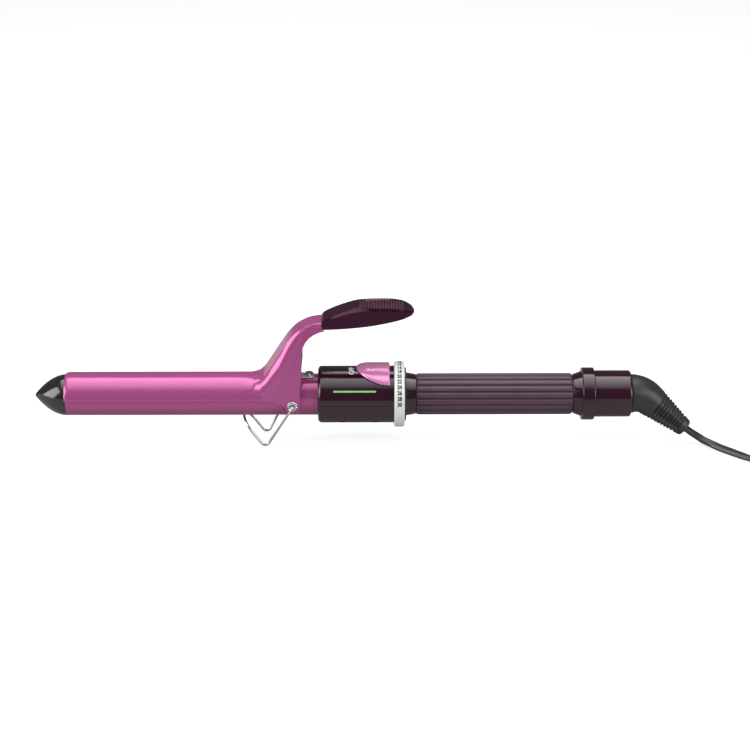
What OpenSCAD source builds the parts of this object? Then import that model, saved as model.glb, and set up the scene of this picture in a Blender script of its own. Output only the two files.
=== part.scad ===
// Spring-clamp curling iron with a slide switch, a heat dial, a folding wire rest and a swivel lead.
// It lies along X with its cool tip towards -X, on the surface z = 0, and the origin is the middle
// of its box at floor level, without the lead.

/* [Barrel] */
// Outer diameter of the heated barrel
barrel_d = 25.4; // [20:0.1:27]
// Bare length of the barrel, from the cool tip to the housing
barrel_l = 153.6; // [125:0.1:190]
// Wall of the barrel tube
barrel_wall = 0.8; // [0.6:0.1:1.2]
// Length of the cool tip in front of the barrel
nose_l = 19.5; // [12:0.5:30]
// Radius of the small flat at the very end of the cool tip
nose_r = 0.9; // [0.5:0.1:3]
// Length of the tip's spigot inside the barrel
spigot_l = 9; // [6:0.5:14]

/* [Clamp] */
// Thickness of the clamp's sheet metal
sheet_t = 1.0; // [0.8:0.1:1.3]
// Air between the closed clamp and the barrel
clamp_gap = 0.35; // [0.3:0.05:0.8]
// Angle that the clamp wraps around the barrel
clamp_wrap = 166; // [140:1:172]
// Height of the lever's top above the iron's axis, at its neck
lever_h = 50.2; // [46:0.1:56]
// Width across the lever at its neck
lever_w = 12.6; // [11:0.1:15]
// Radius of the ear around the hinge
ear_r = 5.3; // [5:0.1:6]
// Distance of the hinge in front of the housing
pivot_back = 15.4; // [14:0.1:20]
// Distance of the hinge below the iron's axis
pivot_drop = 1.5; // [1:0.1:3]

/* [Thumb pad] */
// Length of the thumb pad
pad_l = 55.8; // [45:0.1:62]
// Width of the thumb pad
pad_w = 17.4; // [16:0.1:20]

/* [Handle] */
// Outer diameter of the housing
housing_d = 35.0; // [33:0.1:38]
// Length of the housing
housing_l = 46.5; // [40:0.1:60]
// Wall of the moulded shells
shell_t = 2.0; // [1.6:0.1:2.4]
// Outer diameter of the heat dial
dial_d = 40.2; // [38:0.1:46]
// Width of the heat dial
dial_w = 6.4; // [5:0.1:9]
// Outer diameter of the grip over its ribs
grip_d = 25.4; // [24:0.1:30]
// Length of the grip
grip_l = 96; // [80:1:120]
// Number of ribs around the grip
grip_ribs = 18; // [12:1:24]
// Outer diameter of the end cap
cap_d = 28.6; // [27:0.1:32]
// Length of the end cap behind its collar
cap_l = 22.6; // [20:0.1:30]

/* [Wire rest] */
// Height of the iron's axis above the surface it stands on
axis_h = 30.5; // [26:0.1:40]
// Diameter of the rest's wire
wire_d = 1.6; // [1.2:0.1:2]
// Half the distance between the two feet
foot_half = 10; // [8:0.1:13]

/* [Lead] */
// Angle of the boot away from the iron's axis
boot_angle = 39; // [25:1:45]
// Straight tapered length of the boot behind its bend
boot_run = 29; // [24:0.5:36]
// Width of the flat twin lead
lead_w = 6; // [5:0.1:7]
// Thickness of the flat twin lead
lead_t = 3.2; // [2.6:0.1:4]

/* [Hidden] */
$fn = 72;

// Clearances
run_gap = 0.05;         // sliding and turning fits
side_gap = 0.1;         // between faces that pass each other

// Radii
barrel_r = barrel_d / 2;
bore_r = barrel_r - barrel_wall;
clamp_in = barrel_r + clamp_gap;
clamp_out = clamp_in + sheet_t;
housing_r = housing_d / 2;
housing_in = housing_r - shell_t;
dial_r = dial_d / 2;
hub_r = 13.3;           // hub that the dial turns on
tube_r = 10.3;          // handle tube under the grip
grip_r = grip_d / 2;
cap_r = cap_d / 2;
flange_r = 16.5;        // thin retaining ring behind the dial
collar_r = 16.1;       // collar in front of the end cap
cap_wall = 2.0;
wire_r = wire_d / 2;

// Lengths along the handle
flange_t = 0.9;
neck_l = 5.9;
cone_l = 5.5;
collar_l = 7.6;
neck_end_r = 12.3;
cone_start_r = 12;
cone_end_r = 13.9;

// Boot
boot_r = 12;
boot_tip_r = 5.4;
boot_stub = 1.5;
boot_bend = 16;
boot_turn = 15;         // turn of the swivel towards -Y at rest
boot_reach = boot_stub + boot_bend * sin(boot_angle) + boot_run * cos(boot_angle);
boot_drop = boot_bend * (1 - cos(boot_angle)) + boot_run * sin(boot_angle);

// Stations along X
overall_l = nose_l + barrel_l + housing_l + dial_w + flange_t + neck_l + grip_l + cone_l + collar_l
    + cap_l + side_gap + boot_reach + boot_tip_r * sin(boot_angle);
x_nose = -overall_l / 2;
x_tip = x_nose + nose_l;
x_house = x_tip + barrel_l;
x_dial = x_house + housing_l;
x_flange = x_dial + dial_w;
x_neck = x_flange + flange_t;
x_grip = x_neck + neck_l;
x_cone = x_grip + grip_l;
x_collar = x_cone + cone_l;
x_cap = x_collar + collar_l;
x_end = x_cap + cap_l;
x_boot = x_end + side_gap;
x_pivot = x_house - pivot_back;
z_pivot = axis_h - pivot_drop;

// Inside the housing
bushing_l = 12;
rib_x = x_dial - 8;     // wall that joins the housing to the hub
rib_t = 2;
board_t = 1.2;
board_drop = 5;         // of the board's top below the iron's axis
board_z = axis_h - board_drop;
board_w = 2 * sqrt(housing_in * housing_in - pow(board_drop + board_t, 2));
x_board = x_house + bushing_l + 4;
board_l = rib_x - x_board - 0.5;

// Slide switch and its button
button_l = 20.3;
button_gap = 0.3;       // air between the button and the housing
button_t = 1.8;
button_half = 49;       // half the angle that the button spans
button_travel = 5.5;
x_button = x_dial - 2.7 - button_l;
stem_l = 4;
stem_w = 3;
x_stem = x_button + 12;

// Swivel inside the end cap
x_tube_end = x_cap + 3.5;
cap_floor = 2.2;
neck_hole_r = 6;
rotor_r = 8;

// Hinge
shank_r = 2.2;
eyelet_head_r = 3.2;
eyelet_head_t = 1.0;
pin_r = wire_r - 0.04;  // the wire's ends are drawn a little thinner, as the hinge's pins
eyelet_bore_r = pin_r + run_gap;

// ---- shapes that repeat ----

// Round rod along X, centred on the iron's axis unless y and z say otherwise
module rod_x(x0, x1, r, y = 0, z = axis_h)
    translate([x0, y, z]) rotate([0, 90, 0]) cylinder(h = x1 - x0, r = r);

// Round tube along X on the iron's axis
module tube_x(x0, x1, r_out, r_in) difference() {
    rod_x(x0, x1, r_out);
    rod_x(x0 - 1, x1 + 1, r_in);
}

// Round rod along Y
module rod_y(x, z, y0, y1, r)
    translate([x, y1, z]) rotate([90, 0, 0]) cylinder(h = y1 - y0, r = r);

// Block from its lowest corner to its highest
module block(a, b) translate(a) cube(b - a);

// Outline of [x, radius] points turned about the iron's axis; turn and sweep pick a sector
module turned(points, turn = 0, sweep = 360)
    translate([0, 0, axis_h]) rotate([0, 90, 0]) rotate([0, 0, turn])
        rotate_extrude(angle = sweep) polygon([for (p = points) [p[1], p[0]]]);

// Outline in the XZ plane drawn out across Y
module across(y0, y1) translate([0, y1, 0]) rotate([90, 0, 0]) linear_extrude(y1 - y0) children();

// Points of an arc, and of a cubic curve with two handles
function arc(c, r, a0, a1, n = 8) = [for (i = [0:n]) let (a = a0 + (a1 - a0) * i / n)
    [c[0] + r * cos(a), c[1] + r * sin(a)]];
function curve(p, a, b, q, n = 10) = [for (i = [0:n]) let (t = i / n, s = 1 - t)
    s * s * s * p + 3 * s * s * t * a + 3 * s * t * t * b + t * t * t * q];

// Solid swept through rings of points, closed at both ends
module swept(rings) {
    n = len(rings[0]);
    m = len(rings);
    polyhedron(
        points = [for (ring = rings) for (p = ring) p],
        faces = concat(
            [[for (i = [0:n - 1]) i]],
            [for (k = [0:m - 2]) for (i = [0:n - 1]) let (j = (i + 1) % n)
                [k * n + i, (k + 1) * n + i, (k + 1) * n + j]],
            [for (k = [0:m - 2]) for (i = [0:n - 1]) let (j = (i + 1) % n)
                [k * n + i, (k + 1) * n + j, k * n + j]],
            [[for (i = [n - 1:-1:0]) (m - 1) * n + i]]));
}

// ---- barrel and heater ----

module barrel() color("orchid") difference() {
    tube_x(x_tip, x_house + bushing_l, barrel_r, bore_r);
    rod_y(x_pivot, z_pivot, -barrel_r - 1, barrel_r + 1, shank_r);
    translate([x_spring_screw, 0, axis_h]) cylinder(h = barrel_r + 1, r = spring_screw_r);
}

module cool_tip() color("black") {
    n = 16;
    turned(concat([[x_nose, 0]],
        [for (i = [0:n]) let (t = i / n)
            [x_nose + nose_l * t, nose_r + (barrel_r - nose_r) * (1 - (1 - t) * (1 - t))]],
        [[x_tip, bore_r], [x_tip + spigot_l, bore_r], [x_tip + spigot_l, bore_r - 2],
         [x_tip + 1, bore_r - 2], [x_tip + 1, 0]]));
}

// The heater is a flat ceramic plate between two half-round aluminium blocks
heater_l = 70;
heater_w = 15;
heater_t = 2.2;
mica_t = 0.3;
x_heater = x_tip + 30;
stack = heater_t / 2 + mica_t;
spreader_over = 6;      // of the blocks beyond each end of the heater

module heater_plate() color("ivory")
    block([x_heater, -heater_w / 2, axis_h - heater_t / 2],
          [x_heater + heater_l, heater_w / 2, axis_h + heater_t / 2]);

module mica_sheets() color("goldenrod") for (s = [0, 1]) mirror([0, 0, s])
    translate([0, 0, s * -2 * axis_h])
        block([x_heater - 3, -heater_w / 2 - 1, axis_h + heater_t / 2],
              [x_heater + heater_l + 3, heater_w / 2 + 1, axis_h + stack]);

module spreader() intersection() {
    rod_x(x_heater - spreader_over, x_heater + heater_l + spreader_over, bore_r);
    block([x_heater - 2 * spreader_over, -barrel_r, axis_h + stack],
          [x_heater + heater_l + 2 * spreader_over, barrel_r, axis_h + barrel_r]);
}
module spreader_upper() color("silver") spreader();
module spreader_lower() color("silver")
    translate([0, 0, 2 * axis_h]) mirror([0, 0, 1]) spreader();

x_fuse = x_heater + heater_l + spreader_over;
fuse_l = 10;
fuse_up = 4;            // height of the fuse above the iron's axis
sensor_down = 4;        // and of the sensor below it
sensor_r = 1.2;
lead_r = 0.7;
module thermal_fuse() color("white") rod_x(x_fuse, x_fuse + fuse_l, 2, z = axis_h + fuse_up);
module heat_sensor() color("gray") translate([x_fuse + sensor_r, 0, axis_h - sensor_down]) sphere(sensor_r);

// ---- hinge, spring and bushing ----

module pivot_eyelets() color("gainsboro") for (s = [-1, 1])
    translate([x_pivot, 0, z_pivot]) rotate([-90 * s, 0, 0]) difference() {
        union() {
            translate([0, 0, bore_r - 2]) cylinder(h = clamp_out + side_gap - bore_r + 2, r = shank_r);
            translate([0, 0, clamp_out + side_gap]) cylinder(h = eyelet_head_t, r = eyelet_head_r);
        }
        translate([0, 0, bore_r - 3]) cylinder(h = 10, r = eyelet_bore_r);
    }

spring_w = 7;
spring_t = 0.5;
spring_screw_r = 1.3;
spring_head_r = 2.3;
spring_head_t = 1.6;
x_spring_screw = x_pivot + 10;
spring_bend = 6;        // bend between the spring's foot and its arm
spring_rise = 62;       // slope of the spring's arm
spring_arm = 14;

module leaf_spring() color("silver") {
    x0 = x_pivot + 4;
    z0 = axis_h + barrel_r;
    difference() {
        block([x0, -spring_w / 2, z0], [x_pivot + 13, spring_w / 2, z0 + spring_t]);
        translate([x_spring_screw, 0, z0 - 1]) cylinder(h = 3, r = spring_screw_r);
    }
    across(-spring_w / 2, spring_w / 2) {
        difference() {
            translate([x0, z0 + spring_bend]) circle(spring_bend);
            translate([x0, z0 + spring_bend]) circle(spring_bend - spring_t);
            translate([x0, z0 - 1]) square(2 * spring_bend + 2);
            translate([x0, z0 + spring_bend]) rotate(180 - spring_rise + 90) translate([-20, 0])
                square(40);
        }
        translate([x0, z0 + spring_bend]) rotate(-90 - spring_rise)
            translate([spring_bend - spring_t, -spring_arm]) square([spring_t, spring_arm]);
    }
}

module spring_screw() color("gainsboro") translate([x_spring_screw, 0, axis_h + barrel_r]) {
    translate([0, 0, -4]) cylinder(h = 4 + spring_t, r = spring_screw_r);
    difference() {
        translate([0, 0, spring_t]) cylinder(h = spring_head_t, r = spring_head_r);
        translate([0, 0, spring_t + spring_head_t]) cross_slot();
    }
}

module barrel_bushing() color("saddlebrown")
    tube_x(x_house + shell_t, x_house + bushing_l, housing_in, barrel_r);

// ---- shells ----

// Outline of both shells: housing, wall to the hub, hub, neck cone and handle tube
function shell_outline() = let (bevel = 2.2, x_out = x_dial - side_gap) concat(
    [[x_house, barrel_r + side_gap]],
    arc([x_house + bevel, housing_r - bevel], bevel, 180, 90, 6),
    [[x_out, housing_r], [x_out, housing_in], [rib_x + rib_t, housing_in], [rib_x + rib_t, hub_r],
     [x_neck, hub_r], [x_grip, neck_end_r], [x_grip, tube_r], [x_tube_end, tube_r],
     [x_tube_end, tube_r - shell_t], [x_neck, tube_r - shell_t], [x_flange, hub_r - shell_t],
     [rib_x, hub_r - shell_t], [rib_x, housing_in], [x_house + shell_t, housing_in],
     [x_house + shell_t, barrel_r + side_gap]]);

// Screw bosses stand on the lower shell and meet the upper one
boss_x = [x_house + bushing_l + 3.3, rib_x - 3.1];
boss_y = 10.5;
boss_r = 3.0;
screw_r = 1.1;
screw_head_r = 2.0;
boss_half = 8;          // depth of the screws' seats below the iron's axis
screw_head_t = 1.4;
screw_reach = 4.5;      // of the screws above the iron's axis
slot_l = 2.4;
slot_w = 0.6;
slot_depth = 0.6;

module shell_bosses(r, z0, z1) for (x = boss_x, s = [-1, 1])
    translate([x, s * boss_y, axis_h]) translate([0, 0, z0]) cylinder(h = z1 - z0, r = r);

module upper_shell() color([0.25, 0.05, 0.2]) difference() {
    union() {
        turned(shell_outline(), turn = 90, sweep = 180);
        intersection() {
            shell_bosses(boss_r, 0, housing_r);
            rod_x(x_house, x_dial, housing_in + 0.5);
        }
    }
    shell_bosses(screw_r, -1, screw_reach + 0.5);
    // Slot for the switch's stem
    block([x_stem - stem_l / 2 - button_travel - 0.5, -stem_w / 2 - 0.3, axis_h + housing_in - 2],
          [x_stem + stem_l / 2 + 0.5, stem_w / 2 + 0.3, axis_h + housing_r + 1]);
}

module lower_shell() color([0.25, 0.05, 0.2]) difference() {
    union() {
        turned(shell_outline(), turn = -90, sweep = 180);
        intersection() {
            shell_bosses(boss_r, -housing_r, 0);
            rod_x(x_house, x_dial, housing_in + 0.5);
        }
    }
    shell_bosses(screw_r, -housing_r, 1);
    shell_bosses(screw_head_r, -housing_r - 1, -boss_half);
}

// Cross-shaped slot of a small screw, centred on the outer face of its head
module cross_slot() for (turn = [0, 90]) rotate([0, 0, turn])
    cube([slot_l, slot_w, 2 * slot_depth], center = true);

module case_screws() color("silver") difference() {
    union() {
        shell_bosses(screw_r, -boss_half, screw_reach);
        shell_bosses(screw_head_r, -boss_half - screw_head_t, -boss_half);
    }
    for (x = boss_x, s = [-1, 1])
        translate([x, s * boss_y, axis_h - boss_half - screw_head_t]) cross_slot();
}

// ---- electronics ----

module control_board() color("darkgreen")
    difference() {
        block([x_board, -board_w / 2, board_z - board_t], [x_board + board_l, board_w / 2, board_z]);
        shell_bosses(boss_r + 0.3, -boss_half, 0);
    }

// The triac stands on edge against its heat tab, and the heater's wires end on its front
triac_w = 12;
triac_t = 3;
triac_h = 8;
tab_t = 1.2;
x_triac = x_board + 3;
x_tab = x_triac + triac_t;
x_tab_back = x_tab + tab_t;
tab_h = 13;
module triac() color("dimgray") {
    block([x_triac, -triac_w / 2, board_z], [x_tab_back, triac_w / 2, board_z + triac_h]);
    block([x_tab, -triac_w / 2, board_z], [x_tab_back, triac_w / 2, board_z + tab_h]);
}

// The film capacitor stands on the board behind the triac, towards the far side
capacitor_l = 4.8;
capacitor_w = 5;
capacitor_h = 7;
capacitor_y = 5.6;
x_capacitor = x_tab_back + 0.6;
module film_capacitor() color("gold")
    block([x_capacitor, capacitor_y, board_z],
        [x_capacitor + capacitor_l, capacitor_y + capacitor_w, board_z + capacitor_h]);

// The switch stands on the board on a post, and its top slot takes the button's stem
switch_top = axis_h + 11.5;
module slide_switch() color("dimgray") difference() {
    union() {
        block([x_stem - 9.5, -3, axis_h + 4], [x_stem + 2.9, 3, switch_top]);
        block([x_stem - 3.4, -2.5, board_z], [x_stem + 2.6, 2.5, axis_h + 4]);
    }
    block([x_stem - stem_l / 2 - button_travel - 0.5, -stem_w / 2 - 0.3, switch_top - 3],
          [x_stem + stem_l / 2 + 0.5, stem_w / 2 + 0.3, switch_top + 1]);
}

// Ring of resistance track behind the wall, around the hub
x_track = rib_x + rib_t;
track_t = 1;
module track_board() color("peru") tube_x(x_track, x_track + track_t, housing_in, hub_r);

// Two leads come from the heater plate, one from the fuse and one from the sensor
module heater_wires() color("white") {
    for (s = [-1, 1]) rod_x(x_heater + heater_l, x_triac, lead_r, y = s * 5);
    rod_x(x_fuse + fuse_l, x_tab, lead_r, z = axis_h + fuse_up);
    rod_x(x_fuse + 2 * sensor_r, x_triac, lead_r, z = axis_h - sensor_down);
}

// The supply leads lie on the board and run along the handle
supply_y = 4;
supply_r = 1.3;
module supply_wires() color("black") for (s = [-1, 1])
    rod_x(x_board + board_l - 3, x_tube_end, supply_r, y = s * supply_y, z = board_z + supply_r);

// ---- dial, retaining ring and wiper ----

skirt_r = housing_in - side_gap;
x_skirt = x_track + track_t + 1;

module heat_dial() color("whitesmoke") {
    edge = 1.6;
    x0 = x_dial + run_gap;
    x1 = x_flange - run_gap;
    turned(concat(
        [[x_skirt, hub_r + run_gap], [x_skirt, skirt_r], [x0, skirt_r]],
        arc([x0 + edge, dial_r - edge], edge, 180, 90, 5),
        arc([x1 - edge, dial_r - edge], edge, 90, 0, 5),
        [[x1, hub_r + run_gap]]));
}

module dial_wiper() color("goldenrod")
    turned([[x_track + track_t + run_gap, hub_r + 0.3], [x_track + track_t + run_gap, skirt_r - 0.2],
        [x_skirt, skirt_r - 0.2], [x_skirt, hub_r + 0.3]], turn = 0, sweep = 24);

module dial_retainer() color([0.25, 0.05, 0.2]) tube_x(x_flange, x_neck, flange_r, hub_r);

// ---- grip and end cap ----

groove_r = 0.75;
module grip_sleeve() color([0.28, 0.14, 0.24])
    translate([x_grip, 0, axis_h]) rotate([0, 90, 0]) linear_extrude(grip_l) difference() {
        circle(grip_r);
        circle(tube_r);
        for (i = [0:grip_ribs - 1]) rotate(i * 360 / grip_ribs) translate([grip_r, 0])
            circle(groove_r, $fn = 24);
    }

module end_cap() color([0.25, 0.05, 0.2]) {
    edge = 1.4;
    turned(concat(
        [[x_cone, tube_r], [x_cone, cone_start_r], [x_collar, cone_end_r], [x_collar, collar_r - 0.8],
         [x_collar + 0.8, collar_r], [x_cap - 0.8, collar_r], [x_cap, collar_r - 0.8], [x_cap, cap_r]],
        arc([x_end - edge, cap_r - edge], edge, 90, 0, 5),
        [[x_end, neck_hole_r + side_gap], [x_end - cap_floor, neck_hole_r + side_gap],
         [x_end - cap_floor, cap_r - cap_wall], [x_tube_end, cap_r - cap_wall],
         [x_tube_end, tube_r]]));
}

// ---- swivel ----

socket_t = 3;
rotor_front = x_end - cap_floor - 9;
ring_t = 1.2;

module swivel_socket() color("dimgray") tube_x(x_tube_end, x_tube_end + socket_t, cap_r - cap_wall, 1.6);

// Two fingers of spring brass stand on the socket, one at the pin and one at the ring
module swivel_contacts() color("goldenrod") {
    block([x_tube_end + socket_t, 1.2 + side_gap, axis_h - 1], [rotor_front - ring_t - 1, 1.7, axis_h + 1]);
    block([x_tube_end + socket_t, 5.6, axis_h - 1], [rotor_front - ring_t - run_gap, 6.2, axis_h + 1]);
}

module swivel_ring() color("goldenrod") tube_x(rotor_front - ring_t, rotor_front, rotor_r - 0.5, 4.6);

module swivel_pin() color("goldenrod") rod_x(x_tube_end + socket_t + 0.3, rotor_front, 1.2);

module swivel_rotor() color("dimgray") rod_x(rotor_front, x_end - cap_floor - 2.4, rotor_r);

// Boot, moulded around the lead: a flange and neck in the cap, then a bent taper
boot_arc = boot_bend * boot_angle * PI / 180;
boot_s = boot_stub + boot_arc + boot_run;

// Point, direction and radius of the boot's middle line at the distance s along it
function boot_at(s) =
    s < boot_stub ? [s, 0] :
    s < boot_stub + boot_arc ? let (a = (s - boot_stub) / boot_bend * 180 / PI)
        [boot_stub + boot_bend * sin(a), boot_bend * (1 - cos(a))] :
    let (t = s - boot_stub - boot_arc)
        [boot_stub + boot_bend * sin(boot_angle) + t * cos(boot_angle),
         boot_bend * (1 - cos(boot_angle)) + t * sin(boot_angle)];
function boot_dir(s) = min(max(s - boot_stub, 0) / boot_bend * 180 / PI, boot_angle);
function boot_radius(s) = boot_r + (boot_tip_r - boot_r) * pow(s / boot_s, 1.15);

module strain_relief() color([0.1, 0.1, 0.1]) {
    rod_x(x_end - cap_floor - 2.4, x_end - cap_floor - side_gap, rotor_r + 1);
    rod_x(x_end - cap_floor - side_gap, x_boot, neck_hole_r);
    n = 22;
    sides = 28;
    translate([x_boot, 0, axis_h]) rotate([-boot_turn, 0, 0])
        swept([for (i = [0:n]) let (s = boot_s * i / n, c = boot_at(s), a = boot_dir(s), r = boot_radius(s))
            [for (k = [0:sides - 1]) let (u = r * cos(k * 360 / sides), v = r * sin(k * 360 / sides))
                [c[0] + v * sin(a), u, -c[1] + v * cos(a)]]]);
}

// ---- clamp ----

// Hood sections: offset from the hinge along X, top height above the axis, half width of the top
hood_base = -19.7;
hood_mid = -2.7;
hood_rear = 5.9;        // rear edge of the hood's side walls
hood_bend = 7.4;
hood_neck = 18;
hood_front = x_tip - 0.5;
hood_mid_h = lever_h - 11.6;
hood_bend_h = lever_h - 2.6;

// Half widths of the hood's flat top at those sections, and its slope at each
hood_base_w = 9.3;
hood_mid_w = 7.9;
hood_bend_w = 7;
base_lean = 58;
mid_lean = 54;
bend_lean = 24;
neck_lean = 5;

// Cross-section of the hood's outside, or of its inside with an inset; lean is the slope there
module hood_slice(x, h, w, inset, lean) translate([x + inset * sin(lean), 0, axis_h])
    rotate([90, 0, 90]) linear_extrude(0.1) let (top = h - inset * cos(lean)) polygon([
        [-clamp_out + inset, -ear_r - pivot_drop - 1], [-clamp_out + inset, clamp_out * 0.25],
        [-w + inset, top], [w - inset, top],
        [clamp_out - inset, clamp_out * 0.25], [clamp_out - inset, -ear_r - pivot_drop - 1]]);

module hood_base_slice(inset)
    hood_slice(x_pivot + hood_base, clamp_out - 0.1, hood_base_w, inset, base_lean);
module hood_mid_slice(inset) hood_slice(x_pivot + hood_mid, hood_mid_h, hood_mid_w, inset, mid_lean);
module hood_bend_slice(inset) hood_slice(x_pivot + hood_bend, hood_bend_h, hood_bend_w, inset, bend_lean);
module hood_neck_slice(inset)
    hood_slice(x_pivot + hood_neck + inset, lever_h, lever_w / 2, inset, neck_lean);

module hood_body(inset) {
    hull() {
        hood_base_slice(inset);
        hood_mid_slice(inset);
    }
    hull() {
        hood_mid_slice(inset);
        hood_bend_slice(inset);
    }
    hull() {
        hood_bend_slice(inset);
        hood_neck_slice(inset);
    }
}

// Side view of the hood: ear around the hinge, rear edge, and the curve under the lever
function hood_side() = concat(
    [[x_pivot + hood_base, axis_h + clamp_out + 1], [x_pivot + hood_base, axis_h + 1.5],
     [x_pivot - 9, axis_h - 0.5]],
    arc([x_pivot, z_pivot], ear_r, 225, 330, 8),
    [[x_pivot + hood_rear, z_pivot]],
    arc([x_pivot + hood_rear + 11, axis_h + lever_h - 17.5], 11, 180, 100, 8),
    [[x_pivot + hood_neck, axis_h + lever_h - 5.5], [x_pivot + hood_neck, axis_h + lever_h + 1]]);

tongue_l = 44;
tongue_w = 9;
tongue_rise = 6.5;      // slope of the tongue inside the pad
module tongue() translate([x_pivot + hood_neck - 0.5, -tongue_w / 2, axis_h + lever_h - sheet_t])
    rotate([0, -tongue_rise, 0]) cube([tongue_l, tongue_w, sheet_t]);

module clamp() color("orchid") difference() {
    union() {
        intersection() {
            difference() {
                rod_x(hood_front, x_pivot + hood_base + 0.1, clamp_out);
                rod_x(hood_front - 1, x_pivot + hood_base + 1, clamp_in);
            }
            translate([hood_front - 1, 0, axis_h]) rotate([90, 0, 90])
                linear_extrude(barrel_l) polygon([[0, 0],
                    [30 * sin(clamp_wrap / 2), 30 * cos(clamp_wrap / 2)], [30, 30], [-30, 30],
                    [-30 * sin(clamp_wrap / 2), 30 * cos(clamp_wrap / 2)]]);
        }
        intersection() {
            difference() {
                hood_body(0);
                hood_body(sheet_t);
                rod_x(x_pivot + hood_base - 1, x_pivot + hood_neck, clamp_in);
            }
            across(-20, 20) polygon(hood_side());
        }
        tongue();
    }
    rod_y(x_pivot, z_pivot, -20, 20, shank_r + run_gap);
    pad_screw_shaft();
}

pad_start = x_pivot + hood_neck + side_gap;
pad_end = pad_start + pad_l;
pad_drawn_l = 54;       // the side's outline is drawn at this length, and stretches with the pad
function pad_side() = let (z = axis_h + lever_h, u = pad_l / pad_drawn_l) concat(
    curve([pad_start, z - 4.4], [pad_start - 0.2, z - 0.5], [pad_start, z + 0.3], [pad_start + 1.4, z + 1.4], 4),
    curve([pad_start + 1.4, z + 1.4], [pad_start + 12 * u, z + 9.2], [pad_start + 35 * u, z + 14.6],
        [pad_end - 1.2, z + 5.4], 14),
    curve([pad_end - 1.2, z + 5.4], [pad_end + 0.6, z + 4.6], [pad_end - 1, z + 3.6],
        [pad_end - 5, z + 2.8], 4),
    curve([pad_end - 5, z + 2.8], [pad_end - 18 * u, z - 0.6], [pad_start + 20 * u, z - 2.8],
        [pad_start, z - 4.4], 8));

module thumb_pad() color([0.2, 0.04, 0.15]) difference() {
    intersection() {
        across(-pad_w / 2, pad_w / 2) polygon(pad_side());
        translate([0, 0, axis_h]) linear_extrude(lever_h + 30) hull() {
            translate([pad_start - 1, -pad_w / 2 + 1]) square([10, pad_w - 2]);
            translate([pad_start + 10, -pad_w / 2]) square([pad_l - 25, pad_w]);
            for (s = [-1, 1]) translate([pad_end - 6, s * (pad_w / 2 - 6)]) circle(6, $fn = 32);
        }
    }
    tongue();
    pad_screw_shaft();
    pad_screw_head(8);
}

// The pad's screw goes up through a pocket in the pad and a hole in the tongue
x_pad_screw = pad_start + 30;
z_pad_screw = axis_h + lever_h + 0.2;
pad_head_t = 0.9;
module pad_screw_shaft() translate([x_pad_screw, 0, z_pad_screw - 1]) cylinder(h = 7.5, r = 1);
module pad_screw_head(h) translate([x_pad_screw, 0, z_pad_screw - h]) cylinder(h = h, r = 2.1);
module pad_screw() color("silver") difference() {
    union() {
        pad_screw_shaft();
        pad_screw_head(pad_head_t);
    }
    translate([x_pad_screw, 0, z_pad_screw - pad_head_t]) cross_slot();
}

// ---- switch button ----

module switch_button() color("orchid") {
    r0 = housing_r + button_gap;
    r1 = r0 + button_t;
    intersection() {
        turned([[x_button, r0], [x_button, r1], [x_button + button_l, r1], [x_button + button_l, r0]],
            turn = 180 - button_half, sweep = 2 * button_half);
        // Plan outline: a half ellipse towards the tip, square at the dial
        translate([0, 0, axis_h]) linear_extrude(30)
            intersection() {
                translate([x_button + button_l, 0]) scale([1, 0.72]) circle(button_l, $fn = 96);
                translate([x_button, -20]) square([button_l, 40]);
            }
    }
    block([x_stem - stem_l / 2, -stem_w / 2, switch_top - 2.5],
          [x_stem + stem_l / 2, stem_w / 2, axis_h + r0 + 1]);
}

// ---- wire rest ----

rest_apex = 30.3;       // how far in front of the hinge the bow reaches
foot_ahead = 17.2;      // how far in front of the hinge the feet stand
foot_bend = 2.6;
bow_r = foot_half;
leg_start = clamp_out + side_gap + eyelet_head_t + 0.8 + wire_r;
z_foot = wire_r + foot_bend;
z_apex = axis_h - barrel_r - 0.3 - wire_r;

// Side view, relative to the hinge: the leg touches the foot's bend, which the bow's plane leaves
foot_c = [-foot_ahead, z_foot];
apex = [-rest_apex, z_apex];
function touch(p, side) = let (d = p - foot_c) atan2(d[1], d[0]) + side * acos(foot_bend / norm(d));
leg_a = touch([0, z_pivot], -1);
bow_a = touch(apex, 1);
function on_foot(a) = foot_c + foot_bend * [cos(a), sin(a)];
bow_foot = on_foot(bow_a);
bow_len = norm(apex - bow_foot);

// Points of half of the wire, from the hinge's pin down the leg, around the foot and up the bow
corner_r = 1.2;
pin_end = leg_start - corner_r;
function leg_y(z) = foot_half + (leg_start - foot_half) * (z - wire_r) / (z_pivot - wire_r);
function rest_half() = concat(
    [for (i = [0:4]) let (b = i * 18)
        [-corner_r * (1 - cos(b)) * 0.48, pin_end + corner_r * sin(b), z_pivot - corner_r * (1 - cos(b)) * 0.88]],
    [let (z = z_pivot - 3.5, p = on_foot(leg_a)) [p[0] * (z_pivot - z) / (z_pivot - p[1]), leg_y(z), z]],
    [for (i = [0:6]) let (p = on_foot(leg_a + (bow_a - 360 - leg_a) * i / 6)) [p[0], foot_half, p[1]]],
    [for (i = [0:7]) let (b = i * 12.5, s = bow_len - bow_r + bow_r * sin(b),
        p = bow_foot + (apex - bow_foot) * s / bow_len) [p[0], bow_r * cos(b), p[1]]]);
function rest_path() = let (half = rest_half(), n = len(half)) concat(
    half, [[apex[0], 0, apex[1]]], [for (i = [n - 1:-1:0]) [half[i][0], -half[i][1], half[i][2]]]);

// Rings around a path; no stretch of the wire runs along the vector [1, 1, 0]
function wire_rings(path, r, sides) = let (m = len(path) - 1) [for (i = [0:m]) let (
    f = path[min(i + 1, m)] - path[max(i - 1, 0)],
    u = cross(f, [1, 1, 0]) / norm(cross(f, [1, 1, 0])),
    v = cross(f, u) / norm(cross(f, u)))
    [for (k = [0:sides - 1]) path[i] + r * (u * cos(k * 360 / sides) + v * sin(k * 360 / sides))]];

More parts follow.
